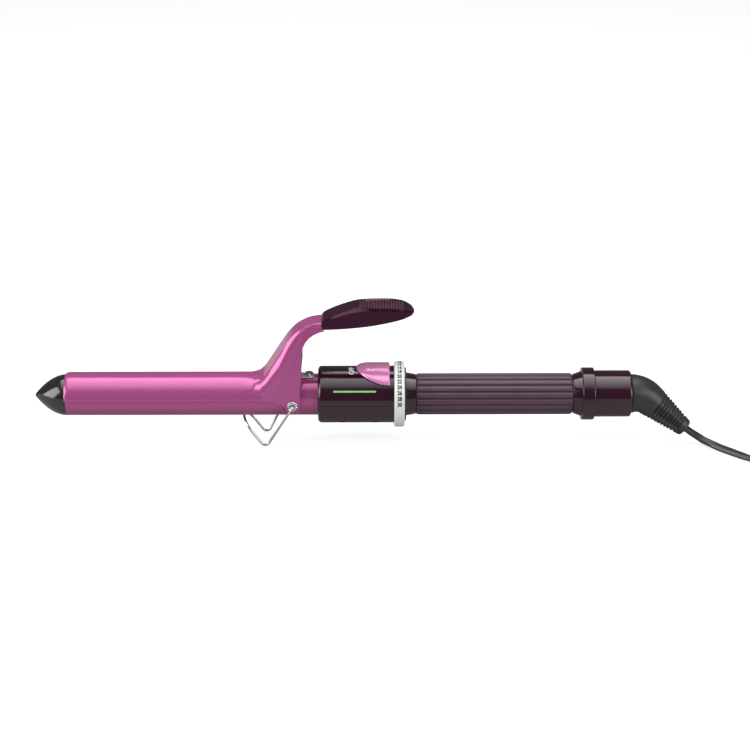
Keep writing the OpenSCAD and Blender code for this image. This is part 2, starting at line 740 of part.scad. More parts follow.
module wire_rest() color("silver") {
    translate([x_pivot, 0, 0]) swept(wire_rings(rest_path(), wire_r, 14));
    for (s = [0, 1]) mirror([0, s, 0]) rod_y(x_pivot, z_pivot, bore_r - 1.5, pin_end + 0.3, pin_r);
}

// ---- lead, hank and plug ----

// Middle line of the free lead from the boot's tip to the hank, and of its last stretch from the
// hank to the plug, with its lay at each point: 1 lies on the wide side, 0 stands on edge
lead_points = [
    [198.6, -5.8, 9.1], [202, -6.7, 6.8], [206, -8.2, 4.7], [209, -10, 3.3], [213, -12.5, 2.3],
    [216, -15, 1.8], [219, -18, 1.6], [225, -23.5, 1.6], [231, -29, 1.6], [238, -35, 1.7],
    [245, -40.5, 2], [253, -44.5, 2.7], [262, -47, 3.5], [271, -48, 4.1]
];
lead_lay = [1, 1, 1, 1, 1, 1, 1, 1, 0.9, 0.7, 0.5, 0.3, 0.1, 0];
tail_points = [
    [318, 21, 6], [323, 20.8, 6.3], [329, 19.6, 7], [336, 16.8, 8], [343, 12.9, 9], [350, 9.2, 9.8]
];
tail_lay = [1, 0.8, 0.6, 0.4, 0.2, 0];

hank_x = 278;           // start of the hank's runs
hank_run = 90;
hank_y = -20;
hank_out = 29.5;
hank_h = 12.6;
tie_t = 1;
tie_w = 14;

// Rings of the flat twin lead around a list of points
function lead_rings(path, lay, n = 12) = let (m = len(path) - 1) [for (i = [0:m]) let (
    f = path[min(i + 1, m)] - path[max(i - 1, 0)],
    side = cross([0, 0, 1], f) / norm(cross([0, 0, 1], f)),
    up = cross(f, side) / norm(f),
    w = (lead_w * lay[i] + lead_t * (1 - lay[i])) / 2,
    h = (lead_t * lay[i] + lead_w * (1 - lay[i])) / 2)
    [for (k = [0:n - 1]) path[i] + side * w * cos(-k * 360 / n) + up * h * sin(-k * 360 / n)]];

module lead_tube() color([0.1, 0.1, 0.1]) swept(lead_rings(lead_points, lead_lay));
module lead_tail() color([0.1, 0.1, 0.1]) swept(lead_rings(tail_points, tail_lay));

module hank_outline(r) hull() for (x = [hank_x, hank_x + hank_run]) translate([x, hank_y]) circle(r);

module lead_hank() color([0.1, 0.1, 0.1]) translate([0, 0, tie_t])
    linear_extrude(hank_h) hank_outline(hank_out);

module hank_tie() color("black") difference() {
    block([hank_x + hank_run / 2 - tie_w / 2, hank_y - hank_out - tie_t, 0],
          [hank_x + hank_run / 2 + tie_w / 2, hank_y + hank_out + tie_t, hank_h + 2 * tie_t]);
    lead_hank();
}

// Two-pin plug lying beside the hank, its blades towards -X
plug_x = 272;
plug_y = 21;
plug_l = 26;
plug_w = 18;
plug_t = 12;
plug_taper_l = 20;
blade_l = 16;
blade_t = 1.5;
blade_pitch = 12.7;
blade_w = [6.35, 7.9];

module plug_body() color([0.1, 0.1, 0.1]) {
    linear_extrude(plug_t) hull() {
        translate([plug_x, plug_y - plug_w / 2]) square([plug_l * 0.6, plug_w]);
        for (s = [-1, 1]) translate([plug_x + plug_l - 3, plug_y + s * 3]) circle(3);
    }
    translate([plug_x + plug_l - 2, plug_y, plug_t / 2]) rotate([0, 90, 0])
        cylinder(h = plug_taper_l + 2, r1 = 4.6, r2 = 3.6);
}

module plug_blades() color("gold") for (i = [0, 1]) {
    y = plug_y + (i - 0.5) * blade_pitch;
    block([plug_x - blade_l, y - blade_t / 2, plug_t / 2 - blade_w[i] / 2],
          [plug_x, y + blade_t / 2, plug_t / 2 + blade_w[i] / 2]);
}

barrel();
cool_tip();
heater_plate();
mica_sheets();
spreader_upper();
spreader_lower();
thermal_fuse();
heat_sensor();
pivot_eyelets();
leaf_spring();
spring_screw();
barrel_bushing();
upper_shell();
lower_shell();
case_screws();
control_board();
triac();
film_capacitor();
slide_switch();
track_board();
dial_retainer();
grip_sleeve();
end_cap();
swivel_socket();
swivel_contacts();
heater_wires();
supply_wires();
clamp();
thumb_pad();
pad_screw();
wire_rest();
heat_dial();
dial_wiper();
switch_button();
strain_relief();
swivel_rotor();
swivel_ring();
swivel_pin();
lead_tube();
lead_hank();
lead_tail();
hank_tie();
plug_body();
plug_blades();
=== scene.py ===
from math import acos, asin, atan2, cos, degrees, pi, radians, sin, sqrt

import bmesh
import bpy
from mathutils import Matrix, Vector


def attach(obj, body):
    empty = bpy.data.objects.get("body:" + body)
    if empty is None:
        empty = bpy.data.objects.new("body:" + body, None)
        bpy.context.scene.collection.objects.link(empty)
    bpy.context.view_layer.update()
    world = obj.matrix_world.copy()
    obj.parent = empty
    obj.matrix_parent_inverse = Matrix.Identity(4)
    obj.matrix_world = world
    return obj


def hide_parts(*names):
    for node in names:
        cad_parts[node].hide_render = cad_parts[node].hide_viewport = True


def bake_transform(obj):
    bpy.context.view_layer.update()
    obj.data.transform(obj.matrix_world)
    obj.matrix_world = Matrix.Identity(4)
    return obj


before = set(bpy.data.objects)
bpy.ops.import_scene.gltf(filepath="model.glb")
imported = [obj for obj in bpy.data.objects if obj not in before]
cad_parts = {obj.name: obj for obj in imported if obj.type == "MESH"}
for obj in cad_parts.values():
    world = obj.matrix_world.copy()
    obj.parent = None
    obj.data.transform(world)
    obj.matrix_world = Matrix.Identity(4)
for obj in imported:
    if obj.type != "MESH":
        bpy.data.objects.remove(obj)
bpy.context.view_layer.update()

# ---- studio ----
# The iron stands on a white table under one wide softbox that fades towards the viewer. The box's
# straight rear edge draws the sharp-topped highlight that runs the length of the barrel.
mm = 0.001
axis_z = 30.5               # height of the iron's axis above the table
scene = bpy.context.scene
scene.view_settings.view_transform = "Standard"

camera_aim = Vector((6.9, 0, 43.3)) * mm
camera_distance = 1190 * mm
azimuth, elevation = radians(-0.3), radians(25)
camera = bpy.data.objects.new("camera", bpy.data.cameras.new("camera"))
camera.location = camera_aim + camera_distance * Vector(
    (sin(azimuth) * cos(elevation), -cos(azimuth) * cos(elevation), sin(elevation)))
camera.rotation_euler = (radians(90) - elevation, 0, azimuth)
camera.data.lens = 93.5
scene.collection.objects.link(camera)
scene.camera = camera

box_height, box_rear, box_l, strip_width, strips = 0.85, 0.433, 1.1, 0.08, 16
box_radiance, side_l, side_h, table_glow, table_half = 4.0, 1.2, 0.7, 0.8, 6


def softbox(name, wide, deep, radiance, spot, up=None):
    """An even flat lamp. It shines down, or towards the middle of the table when up is given."""
    lamp = bpy.data.lights.new(name, "AREA")
    lamp.shape, lamp.size, lamp.size_y = "RECTANGLE", wide, deep
    lamp.energy = radiance * pi * wide * deep
    light = bpy.data.objects.new(name, lamp)
    light.location = spot
    if up:
        light.rotation_euler = (-light.location).to_track_quat("-Z", up).to_euler()
    scene.collection.objects.link(light)


for strip in range(strips):
    softbox(f"softbox_strip_{strip}", box_l, strip_width, box_radiance * (strips - strip - 0.4) / strips,
            (0, box_rear - strip_width * (strip + 0.5), axis_z * mm + box_height))
# A small lamp behind picks out the ribs of the thumb pad, and one on each side draws the ends
softbox("pad_strip", 0.12, 0.12, 1.1 * box_radiance, (0.02, 0.58, 0.9), up="Y")
softbox("left_softbox", side_l, side_h, 4.6, (-1.1, -0.42, 0.36), up="Z")
softbox("right_softbox", side_l, side_h, 3, (1, -0.6, 0.36), up="Z")

world = bpy.data.worlds.new("studio_air")
world.use_nodes = True
world.node_tree.nodes["Background"].inputs["Color"].default_value = (1, 1, 1, 1)
world.node_tree.nodes["Background"].inputs["Strength"].default_value = 0.12
scene.world = world

bm = bmesh.new()
bmesh.ops.create_grid(bm, x_segments=4, y_segments=4, size=table_half)
table_mesh = bpy.data.meshes.new("table")
bm.to_mesh(table_mesh)
bm.free()
table = bpy.data.objects.new("table", table_mesh)
table.location.z = -0.0004
scene.collection.objects.link(table)


def group_sockets(tree, inputs, outputs):
    """Gives a node group its named sockets, and returns its two end nodes."""
    for name, kind, value in inputs:
        socket = tree.interface.new_socket(name, in_out="INPUT", socket_type=kind)
        socket.default_value = value
    for name, kind in outputs:
        tree.interface.new_socket(name, in_out="OUTPUT", socket_type=kind)
    return tree.nodes.new("NodeGroupInput"), tree.nodes.new("NodeGroupOutput")


# Grain: broad clouds for colour and sheen, and a fine relief, both stretched along the surface.
# Nearly all of the clouds' values lie within cloud_low and cloud_high.
cloud_low, cloud_high, grain_depth = 0.3, 0.7, 0.05 * mm
grain = bpy.data.node_groups.new("grain", "ShaderNodeTree")
grain_in, grain_out = group_sockets(
    grain,
    [("Stretch", "NodeSocketVector", (1, 1, 1)), ("Cloud Scale", "NodeSocketFloat", 60),
     ("Fine Scale", "NodeSocketFloat", 900)],
    [("Cloud", "NodeSocketFloat"), ("Relief", "NodeSocketFloat")])
place = grain.nodes.new("ShaderNodeTexCoord")
stretch = grain.nodes.new("ShaderNodeVectorMath")
stretch.operation = "MULTIPLY"
grain.links.new(place.outputs["Object"], stretch.inputs[0])
grain.links.new(grain_in.outputs["Stretch"], stretch.inputs[1])
for socket, result, detail in (("Cloud Scale", "Cloud", 3), ("Fine Scale", "Relief", 2)):
    noise = grain.nodes.new("ShaderNodeTexNoise")
    noise.inputs["Detail"].default_value = detail
    grain.links.new(stretch.outputs[0], noise.inputs["Vector"])
    grain.links.new(grain_in.outputs[socket], noise.inputs["Scale"])
    grain.links.new(noise.outputs["Fac"], grain_out.inputs[result])


def finish_of(name, colours, roughness, relief=0.1, clouds=60, fine=900, stretch=(1, 1, 1), **shader):
    """A material between two colours and two roughnesses over the grain; shader sets plain sockets."""
    made = bpy.data.materials.new(name)
    made.use_nodes = True
    nodes, links = made.node_tree.nodes, made.node_tree.links
    principled = nodes["Principled BSDF"]
    texture = nodes.new("ShaderNodeGroup")
    texture.node_tree = grain
    texture.inputs["Stretch"].default_value = stretch
    texture.inputs["Cloud Scale"].default_value = clouds
    texture.inputs["Fine Scale"].default_value = fine
    blend = nodes.new("ShaderNodeMix")
    blend.data_type = "RGBA"
    blend.inputs["A"].default_value = (*colours[0], 1)
    blend.inputs["B"].default_value = (*colours[1], 1)
    spread = nodes.new("ShaderNodeMapRange")
    spread.inputs["From Min"].default_value = cloud_low
    spread.inputs["From Max"].default_value = cloud_high
    spread.inputs["To Min"].default_value, spread.inputs["To Max"].default_value = roughness
    bump = nodes.new("ShaderNodeBump")
    bump.inputs["Strength"].default_value = relief
    bump.inputs["Distance"].default_value = grain_depth
    links.new(texture.outputs["Cloud"], blend.inputs["Factor"])
    links.new(texture.outputs["Cloud"], spread.inputs["Value"])
    links.new(texture.outputs["Relief"], bump.inputs["Height"])
    links.new(blend.outputs["Result"], principled.inputs["Base Color"])
    links.new(spread.outputs["Result"], principled.inputs["Roughness"])
    links.new(bump.outputs["Normal"], principled.inputs["Normal"])
    for socket, value in shader.items():
        principled.inputs[socket.replace("_", " ")].default_value = value
    return made


table_white = finish_of("table_white", ((0.42, 0.42, 0.42), (0.43, 0.43, 0.43)), (0.8, 0.9), relief=0,
                        Emission_Color=(1, 1, 1, 1))
glow = table_white.node_tree.nodes.new("ShaderNodeMapRange")
seen = table_white.node_tree.nodes.new("ShaderNodeLightPath")
glow.inputs["To Max"].default_value = table_glow
table_white.node_tree.links.new(seen.outputs["Is Camera Ray"], glow.inputs["Value"])
table_white.node_tree.links.new(
    glow.outputs["Result"], table_white.node_tree.nodes["Principled BSDF"].inputs["Emission Strength"])
table.data.materials.append(table_white)


def coat(made, *nodes):
    """Gives CAD pieces their finish."""
    for name in nodes:
        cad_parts[name].data.materials.clear()
        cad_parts[name].data.materials.append(made)


# ---- barrel ----
# The heated barrel is a drawn aluminium tube, polished and plated pink. It is held in the housing
# by a moulded bushing, and its fine turning marks run around it.
pink_plate = finish_of(
    "pink_plate", ((0.44, 0.092, 0.265), (0.47, 0.10, 0.285)), (0.17, 0.22), relief=0.03,
    clouds=30, fine=400, stretch=(3, 1, 1), Metallic=0.35, Specular_IOR_Level=0.3,
    Coat_Weight=0.35, Coat_Roughness=0.05)
coat(pink_plate, "barrel")
bushing_resin = finish_of("bushing_resin", ((0.16, 0.07, 0.03), (0.22, 0.10, 0.05)), (0.5, 0.65))
coat(bushing_resin, "barrel_bushing")

# ---- cool tip ----
# A solid black nose of heat-proof resin, turned to a bullet shape, on a spigot pressed into the
# barrel. It stays cool enough to hold.
tip_resin = finish_of(
    "tip_resin", ((0.008, 0.011, 0.009), (0.014, 0.018, 0.015)), (0.13, 0.2), relief=0.05,
    Coat_Weight=0.6, Coat_Roughness=0.08)


def rounded(outline, steps=5):
    """A closed outline of (along, out, fillet) corners, with a curve of that size at each corner."""
    points = []
    for corner in range(len(outline)):
        here = Vector(outline[corner][:2])
        fillet = outline[corner][2] if len(outline[corner]) > 2 else 0
        if not fillet:
            points.append(here)
            continue
        before = here + (Vector(outline[corner - 1][:2]) - here).normalized() * fillet
        after = here + (Vector(outline[(corner + 1) % len(outline)][:2]) - here).normalized() * fillet
        for step in range(steps + 1):
            t = step / steps
            points.append(before * (1 - t) ** 2 + here * 2 * t * (1 - t) + after * t * t)
    return points


def turned(outline, sides=128):
    """Spins an outline of (x, radius) points in millimetres all round the iron's axis, and closes
    it unless its ends lie on the axis."""
    bm = bmesh.new()
    ring = [bm.verts.new((x * mm, 0, (axis_z + radius) * mm)) for x, radius in outline]
    edges = [bm.edges.new(pair) for pair in zip(ring, ring[1:])]
    if outline[0][1] > 0:
        edges.append(bm.edges.new((ring[-1], ring[0])))
    bmesh.ops.spin(bm, geom=ring + edges, cent=(0, 0, axis_z * mm), axis=(1, 0, 0), angle=2 * pi,
                   steps=sides, use_merge=True)
    bmesh.ops.remove_doubles(bm, verts=bm.verts, dist=1e-6)
    bmesh.ops.recalc_face_normals(bm, faces=bm.faces)
    return bm


def piece(bm, name, made, body, slot, *nodes, crease=32):
    """Ends a piece: smooth faces with sharp edges above the crease angle, its finish and its body."""
    for face in bm.faces:
        face.smooth = True
    mesh = bpy.data.meshes.new(name)
    bm.to_mesh(mesh)
    bm.free()
    mesh.set_sharp_from_angle(angle=radians(crease))
    mesh.materials.append(made)
    made_piece = bpy.data.objects.new(name, mesh)
    scene.collection.objects.link(made_piece)
    if body:
        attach(made_piece, body)
    if nodes:
        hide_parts(*nodes)
    return made_piece


x_nose, x_tip, barrel_r, nose_r, bore_r = -201.08, -181.58, 12.7, 0.9, 11.9
spigot_l, spigot_wall, nose_steps = 9, 2, 36
nose = [(x_nose, 0)]
for step in range(nose_steps + 1):
    t = (step / nose_steps) ** 1.3      # closer steps near the point
    nose.append((x_nose + (x_tip - x_nose) * t, nose_r + (barrel_r - nose_r) * (1 - (1 - t) ** 2)))
nose += [(x_tip, bore_r), (x_tip + spigot_l, bore_r), (x_tip + spigot_l, bore_r - spigot_wall),
         (x_tip + 1, bore_r - spigot_wall), (x_tip + 1, 0)]
piece(turned(nose), "nose_cone", tip_resin, "handle", "tip_plastic", "cool_tip")

# ---- heater ----
# Inside the barrel a flat ceramic heater lies between mica sheets and two half-round aluminium
# blocks, with a thermal fuse and a sensor bead behind it.
ceramic = finish_of("ceramic", ((0.80, 0.78, 0.72), (0.88, 0.86, 0.80)), (0.5, 0.7))
mica = finish_of("mica", ((0.50, 0.34, 0.12), (0.62, 0.45, 0.2)), (0.3, 0.5), stretch=(1, 3, 1))
cast_aluminium = finish_of(
    "cast_aluminium", ((0.6, 0.6, 0.62), (0.75, 0.75, 0.77)), (0.35, 0.5), relief=0.3, Metallic=1)
coat(ceramic, "heater_plate", "thermal_fuse")
coat(mica, "mica_sheets", "track_board")
coat(cast_aluminium, "spreader_upper", "spreader_lower")
dark_resin = finish_of("dark_resin", ((0.03, 0.03, 0.03), (0.05, 0.05, 0.05)), (0.4, 0.55))
coat(dark_resin, "heat_sensor", "triac", "slide_switch", "swivel_socket", "swivel_rotor")
wire_sleeve = finish_of("wire_sleeve", ((0.70, 0.69, 0.64), (0.8, 0.79, 0.75)), (0.6, 0.7))
coat(wire_sleeve, "heater_wires")

# ---- hinge eyelets and return spring ----
# Two tubular steel eyelets are riveted through the barrel's sides and carry the clamp's ears. A
# bent spring-steel leaf, screwed to the barrel's top behind them, pushes the clamp shut.
x_pivot, z_pivot = -43.38, 29.0     # the hinge that the clamp and the wire rest share


def skin(place, rows, columns, closed=True):
    """A skin of rows x columns faces over place(row, column), in millimetres; closed caps a tube."""
    bm = bmesh.new()
    bmesh.ops.create_grid(bm, x_segments=rows, y_segments=columns, size=1)
    for v in bm.verts:
        row, column = round((v.co.x + 1) / 2 * rows), round((v.co.y + 1) / 2 * columns)
        v.co = Vector(place(row, column)) * mm
    if closed:
        bmesh.ops.remove_doubles(bm, verts=bm.verts, dist=1e-6)
        bmesh.ops.holes_fill(bm, edges=bm.edges, sides=0)
    bmesh.ops.recalc_face_normals(bm, faces=bm.faces)
    return bm


def eyelet(side):
    """One eyelet: a shank through the barrel's wall and a rolled flange crimped in five petals."""
    profile = rounded([(11.9, 1.0), (11.9, 2.19), (14.16, 2.19), (14.16, 3.2, 0.3), (14.75, 3.2, 0.35),
                       (15.13, 2.35, 0.4), (14.75, 1.55, 0.3), (14.2, 1.0)])
    petals, slot_depth, around, rings = 5, 0.45, 80, len(profile)

    def place(row, column):
        out, r = profile[column % rings]
        turn = 2 * pi * row / around
        if out > 14.5 and r < 3:        # the crimp's slots
            out -= slot_depth * max(0, cos(petals * turn)) ** 6
        return x_pivot + r * cos(turn), side * out, z_pivot + r * sin(turn)

    return skin(place, around, rings)


def joined(parts):
    """Joins unfinished meshes into the first one."""
    for part in parts[1:]:
        loose = bpy.data.meshes.new("part")
        part.to_mesh(loose)
        part.free()
        parts[0].from_mesh(loose)
        bpy.data.meshes.remove(loose)
    return parts[0]


bright_steel = finish_of(
    "bright_steel", ((0.62, 0.64, 0.64), (0.74, 0.75, 0.75)), (0.12, 0.2), relief=0.05, Metallic=1)
spring_steel = finish_of(
    "spring_steel", ((0.80, 0.77, 0.68), (0.90, 0.87, 0.78)), (0.22, 0.34), relief=0.1,
    stretch=(1, 8, 1), Metallic=0.8)
coat(bright_steel, "spring_screw", "case_screws")
piece(joined([eyelet(-1), eyelet(1)]), "eyelets", bright_steel, "handle", "bright_steel", "pivot_eyelets")

# The leaf in side view: foot on the barrel, bend in front, arm up under the hood
leaf_z, leaf_bend_x, leaf_bend_r, arm_step, arm_rise = 43.45, 4, 5.75, 2.8, radians(118)
leaf_half, leaf_half_t = 3.5, 0.24
leaf = [(x, leaf_z) for x in (13, 9, 4.6)]
for step in range(1, 8):
    turn = radians(-90 - 62 * step / 7)
    leaf.append((leaf_bend_x + leaf_bend_r * cos(turn), leaf_z + leaf_bend_r * (1 + sin(turn))))
arm_x, arm_z = leaf[-1]
for step in range(1, 6):
    leaf.append((arm_x + arm_step * step * cos(arm_rise), arm_z + arm_step * step * sin(arm_rise)))


def leaf_place(row, column):
    """A point of the leaf: one of the four corners of the strip at that step."""
    x, z = leaf[row]
    ahead, behind = leaf[min(row + 1, len(leaf) - 1)], leaf[max(row - 1, 0)]
    slope = atan2(ahead[1] - behind[1], ahead[0] - behind[0])
    side, up = ((-1, -1), (1, -1), (1, 1), (-1, 1))[column % 4]
    return (x_pivot + x - up * leaf_half_t * sin(slope), side * leaf_half,
            z + up * leaf_half_t * cos(slope))


leaf_spring = piece(skin(leaf_place, len(leaf) - 1, 4), "leaf_spring_strip", spring_steel, None,
                    "spring_steel", "leaf_spring")
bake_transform(leaf_spring)

# ---- housing shells ----
# Two glossy plum mouldings meet at a level parting line and hold everything together: housing in
# front, wall and hub for the dial, and the tube under the grip. Four screws join them from below.
plum_gloss = finish_of(
    "plum_gloss", ((0.020, 0.0022, 0.0105), (0.026, 0.0035, 0.014)), (0.10, 0.16), relief=0.03,
    Coat_Weight=0.4, Coat_Roughness=0.06)
coat(plum_gloss, "upper_shell", "lower_shell", "dial_retainer", "end_cap")

# ---- electronics ----
# A small control board with a triac, a film capacitor and the slide switch sits in the housing,
# with the dial's resistance track behind it.
board_green = finish_of("board_green", ((0.02, 0.10, 0.04), (0.03, 0.14, 0.06)), (0.3, 0.45))
capacitor_yellow = finish_of("capacitor_yellow", ((0.6, 0.42, 0.05), (0.7, 0.5, 0.08)), (0.25, 0.35))
brass = finish_of("brass", ((0.66, 0.45, 0.16), (0.78, 0.55, 0.22)), (0.2, 0.32), Metallic=1)
coat(board_green, "control_board")
coat(capacitor_yellow, "film_capacitor")
coat(brass, "swivel_contacts", "swivel_ring", "swivel_pin", "dial_wiper", "plug_blades")

# ---- printed marks ----
# The off position and a plain green stripe are pad-printed on the housing, each a film of ink
# that stands a few hundredths of a millimetre proud.
housing_r = 17.5
ink_t, ink_spread, ink_gap = 0.05, 0.13, 0.06
pale_ink = finish_of("pale_ink", ((0.78, 0.76, 0.78), (0.84, 0.82, 0.84)), (0.35, 0.5), relief=0.05)
green_ink = finish_of("green_ink", ((0.20, 0.55, 0.16), (0.28, 0.66, 0.22)), (0.35, 0.5), relief=0.05)


def lettered(bm, text, height, put):
    """Adds text of that height, in millimetres, with every corner moved to put(x, y, z)."""
    font = bpy.data.curves.new("lettering", "FONT")
    font.body, font.size, font.extrude, font.offset = text, height, ink_t, ink_spread
    font.align_x, font.align_y = "CENTER", "CENTER"
    holder = bpy.data.objects.new("lettering", font)
    scene.collection.objects.link(holder)
    bpy.context.view_layer.update()
    flat = bpy.data.meshes.new_from_object(
        holder.evaluated_get(bpy.context.evaluated_depsgraph_get()))
    first = len(bm.verts)
    bm.from_mesh(flat)
    bm.verts.ensure_lookup_table()
    for v in bm.verts[first:]:
        v.co = Vector(put(*v.co)) * mm
    bpy.data.objects.remove(holder)
    bpy.data.meshes.remove(flat)


def wrapped(x0, turn, radius, squeeze=1.0):
    """Wraps flat lettering on a cylinder round the iron's axis; turn is from the top to the viewer."""
    def put(x, y, z):
        angle = radians(turn) - y / radius
        out = radius + ink_gap + z
        return (x0 + squeeze * x, -out * sin(angle), axis_z + out * cos(angle))
    return put


off_mark = bmesh.new()
lettered(off_mark, "OFF", 4.3, lambda x, y, z: wrapped(-7.3, 10, housing_r)(-y, x, z))
piece(off_mark, "off_mark", pale_ink, "handle", None)


stripe_x, stripe_l, stripe_half, stripe_turn, stripe_rows = -18.5, 26, 0.55, 60, 40


def stripe(row, column):
    """A strip of ink with rounded ends, thin enough to follow the housing."""
    past = max(0, (abs(2 * row / stripe_rows - 1) - 1) * stripe_l / 2 + stripe_half)
    half = stripe_half * sqrt(1 - past ** 2)
    across, out = ((-half, 0), (-half, ink_t), (half, ink_t), (half, 0))[column % 4]
    return wrapped(0, stripe_turn, housing_r)(stripe_x + stripe_l * row / stripe_rows, across, out)


piece(skin(stripe, stripe_rows, 4), "stripe_mark", green_ink, "handle", None)

# ---- parting line ----
# The two shells meet at the level of the axis. Their rounded edges leave a fine groove along
# each side of the housing, drawn here as a thin near-black strip of painted shade.
seam_shade = finish_of("seam_shade", ((0.004, 0.001, 0.002), (0.006, 0.001, 0.003)), (0.6, 0.7))
seam_x, seam_size = -4.8, Vector((44.4, 0.12, 0.45))
seam = bmesh.new()
for side in (-1, 1):
    made = bmesh.ops.create_cube(seam, size=1)
    for v in made["verts"]:
        v.co = (Vector((seam_x, side * housing_r, axis_z)) + seam_size * v.co) * mm
piece(seam, "parting_line", seam_shade, "handle", None)

# ---- heat dial ----
# The dial is a white ring with printed numbers that turns on the shells' hub, between the housing
# and a thin plum retaining ring.
dial_white = finish_of(
    "dial_white", ((0.80, 0.83, 0.81), (0.86, 0.88, 0.86)), (0.28, 0.4), relief=0.08,
    Coat_Weight=0.3, Coat_Roughness=0.15)
number_ink = finish_of("number_ink", ((0.02, 0.03, 0.028), (0.04, 0.05, 0.045)), (0.4, 0.5), relief=0.05)
dial_r, hub_r, x_dial, x_flange, x_neck = 20.1, 13.3, 18.52, 24.92, 25.82
dial_gap, dial_fillet, retainer_r, retainer_fillet = 0.05, 1.2, 16.5, 0.3
dial = [(x_dial + dial_gap, hub_r + dial_gap), (x_dial + dial_gap, dial_r, dial_fillet),
        (x_flange - dial_gap, dial_r, dial_fillet), (x_flange - dial_gap, hub_r + dial_gap)]
piece(turned(rounded(dial)), "dial_ring", dial_white, "dial", "dial_white", "heat_dial")
numbers = bmesh.new()
hottest, hottest_turn, pitch = 30, 84, 10.2     # turns are degrees from the top towards the viewer
number_h, number_squeeze = 3.5, 0.8
for number in range(0, hottest + 1, 2):
    turn = hottest_turn - (hottest - number) / 2 * pitch
    lettered(numbers, str(number), number_h,
             wrapped((x_dial + x_flange) / 2, turn, dial_r, squeeze=number_squeeze))
piece(numbers, "dial_numbers", number_ink, "dial", "dial_white")
retainer = [(x_flange, hub_r), (x_flange, retainer_r, retainer_fillet),
            (x_neck, retainer_r, retainer_fillet), (x_neck, hub_r)]
piece(turned(rounded(retainer)), "retaining_ring", plum_gloss, "handle", "shell_plum", "dial_retainer")


neck_l, neck_end_r = 5.9, 12.3
x_arrow, arrow_l, arrow_turn, arrow_rows = x_neck + 0.6, 4.4, radians(69), 12


def pointer(row, column):
    """A raised arrow on the neck that the dial's numbers are read against."""
    x = x_arrow + arrow_l * row / arrow_rows
    neck = hub_r + (neck_end_r - hub_r) * (x - x_neck) / neck_l
    half = 2.3 - 1.5 * row / arrow_rows
    lift = 0.45 if 0 < row < arrow_rows else 0.15
    across, out = ((-half, -0.3), (-half * 0.8, lift), (half * 0.8, lift), (half, -0.3))[column % 4]
    angle = arrow_turn - across / neck
    return (x, -(neck + out) * sin(angle), axis_z + (neck + out) * cos(angle))


piece(skin(pointer, arrow_rows, 4), "dial_pointer", plum_gloss, "handle", "shell_plum", crease=20)

# ---- switch button ----
# The slide button is moulded and painted pink like the barrel. Its half-oval plate rides just clear
# of the housing, on a stem that goes down to the switch.
button_pink = finish_of(
    "button_pink", ((0.74, 0.26, 0.52), (0.80, 0.30, 0.56)), (0.22, 0.3), relief=0.05, Metallic=0.35,
    Coat_Weight=0.4, Coat_Roughness=0.12)
button_l, button_t, x_button, button_under = 20.3, 1.8, -4.48, 17.8
plate_rows, end_rows, top_columns, under_columns, end_r = 30, 4, 24, 8, 0.9


def button_place(row, column):
    """A point of the button: rows run from its point back and down its end, columns round it."""
    u = 1 - cos(pi / 2 * min(row, plate_rows) / plate_rows)
    end = pi / 2 * max(0, row - plate_rows) / end_rows
    x = x_button + button_l * u - end_r * u * (1 - sin(end))
    half = 0.72 * button_l * sqrt(max(0.0004, 1 - (1 - u) ** 2))
    tall = button_t * sqrt(min(1, 0.1 + 3 * u)) * (1 - 0.35 * (1 - cos(end)))
    k = column % (top_columns + under_columns)
    if k < top_columns:
        across = 2 * k / (top_columns - 1) - 1
        out = button_under + tall * (1 - 0.45 * abs(across) ** 14)
    else:
        across = 1 - 2 * (k - top_columns) / (under_columns - 1)
        out = button_under
    angle = across * asin(min(0.75, half / (button_under + button_t)))
    return (x, -out * sin(angle), axis_z + out * cos(angle))


piece(skin(button_place, plate_rows + end_rows, top_columns + under_columns), "slide_button",
      button_pink, "switch", "button_pink", "switch_button")

# ---- grip ----
# The grip is a plum rubber sleeve pulled over the handle tube. Eighteen rounded ribs with narrow
# grooves between them run its whole length and round off at the ends.
x_grip, grip_l, grip_r, ribs, rib_columns = 31.72, 96, 12.7, 18, 16
groove_from, groove_blend, groove_depth, end_round, end_drop = 1.45, 0.5, 0.75, 2, 1.8
grip_steps = [0, 0.12, 0.35, 0.7, 1.2, 2.0]
grip_rows = grip_steps + [6 + 12 * step for step in range(8)] + [grip_l - d for d in grip_steps[::-1]]
grip_rubber = finish_of(
    "grip_rubber", ((0.070, 0.034, 0.056), (0.095, 0.050, 0.078)), (0.36, 0.5), relief=0.35,
    clouds=80, fine=1500)


def grip_place(row, column):
    """A point of the grip: each rib is a shallow arc between two grooves, lower near the ends."""
    from_end = min(grip_rows[row], grip_l - grip_rows[row], end_round)
    arc = (column / rib_columns % 1 - 0.5) * 2 * pi * grip_r / ribs
    groove = max(0, min(1, (abs(arc) - groove_from) / groove_blend)) ** 1.5
    radius = grip_r - arc * arc / 9 - groove_depth * groove
    ended = grip_r - end_drop * (1 - sqrt(1 - (1 - from_end / end_round) ** 2))
    radius, angle = min(radius, ended), 2 * pi * column / (rib_columns * ribs)
    return (x_grip + grip_rows[row], radius * sin(angle), axis_z + radius * cos(angle))


piece(skin(grip_place, len(grip_rows) - 1, rib_columns * ribs), "ribbed_grip", grip_rubber, "handle",
      "grip_rubber", "grip_sleeve", crease=50)

